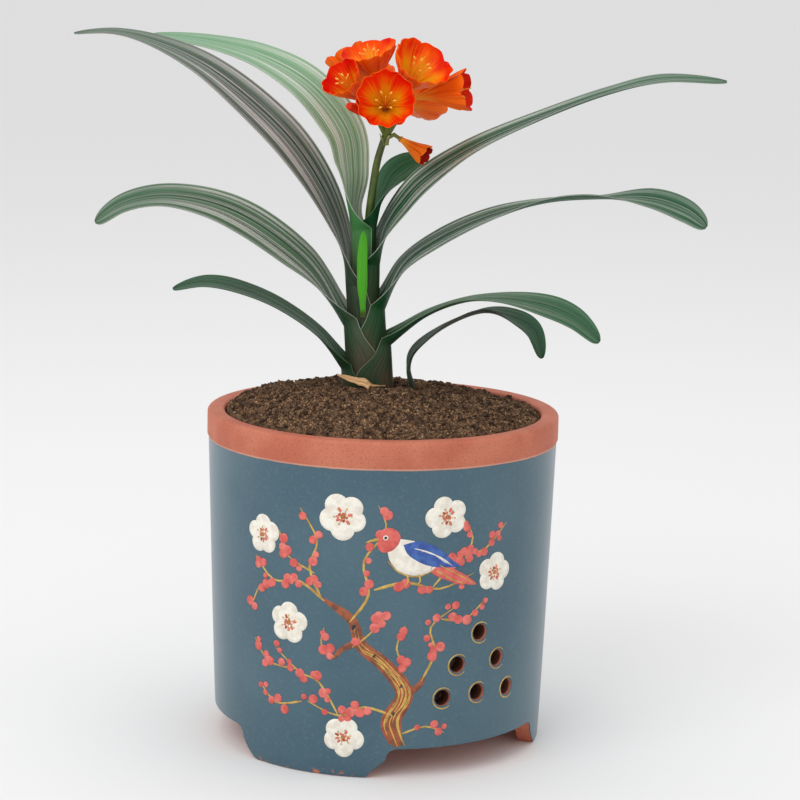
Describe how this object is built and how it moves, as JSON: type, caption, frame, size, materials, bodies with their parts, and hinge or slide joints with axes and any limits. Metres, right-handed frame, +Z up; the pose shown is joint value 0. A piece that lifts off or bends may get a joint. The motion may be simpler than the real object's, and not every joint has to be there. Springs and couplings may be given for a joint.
{
  "type": "potted clivia",
  "caption": "Flowering clivia with arching strap leaves and a stalked orange flower head, growing in soil in a glazed clay pot on three feet",
  "frame": {"origin": "on the pot's axis, on the plane that its three feet stand on", "axes": "+Z up along the pot's axis, +X along the fan of leaves to the right, -Y towards the front"},
  "size_m": [0.5075, 0.28, 0.5596],
  "materials": {
    "glazed_clay": "slate blue-grey glaze over terracotta, with a bare terracotta rim",
    "soil": "matte crumbly potting soil",
    "root": "pale fleshy rootstock, hidden in the soil",
    "leaf": "satin strap leaf, dark green with fine lengthwise ribs",
    "pale_leaf": "satin strap leaf, pale green with fine lengthwise ribs",
    "young_leaf": "bright yellow-green young leaf",
    "dry_leaf": "dry papery leaf base",
    "stalk": "smooth olive flower stalk",
    "petal": "soft orange-red petal, yellow in the throat",
    "stamen": "yellow filaments and anthers"
  },
  "bodies": {
    "root": {"pot": "glazed_clay", "foot_ring": "glazed_clay", "soil": "soil", "rootstock": "root", "leaf_left_1": "leaf", "leaf_left_2": "leaf", "leaf_left_3": "leaf", "leaf_left_4": "pale_leaf", "leaf_right_1": "leaf", "leaf_right_2": "leaf", "leaf_right_3": "leaf", "leaf_right_4": "leaf", "leaf_right_5": "leaf", "leaf_young": "young_leaf", "dry_sheath": "dry_leaf", "scape": "stalk", "bud": "petal", "bloom_1": "petal", "bloom_2": "petal", "bloom_3": "petal", "bloom_4": "petal", "bloom_5": "petal", "bloom_6": "petal", "bloom_7": "petal", "bloom_8": "petal", "bloom_9": "petal", "bloom_10": "petal", "stamens_1": "stamen", "stamens_2": "stamen", "stamens_3": "stamen", "stamens_4": "stamen", "stamens_5": "stamen", "stamens_6": "stamen", "stamens_7": "stamen", "stamens_9": "stamen", "stamens_10": "stamen"}
  },
  "joints": []
}
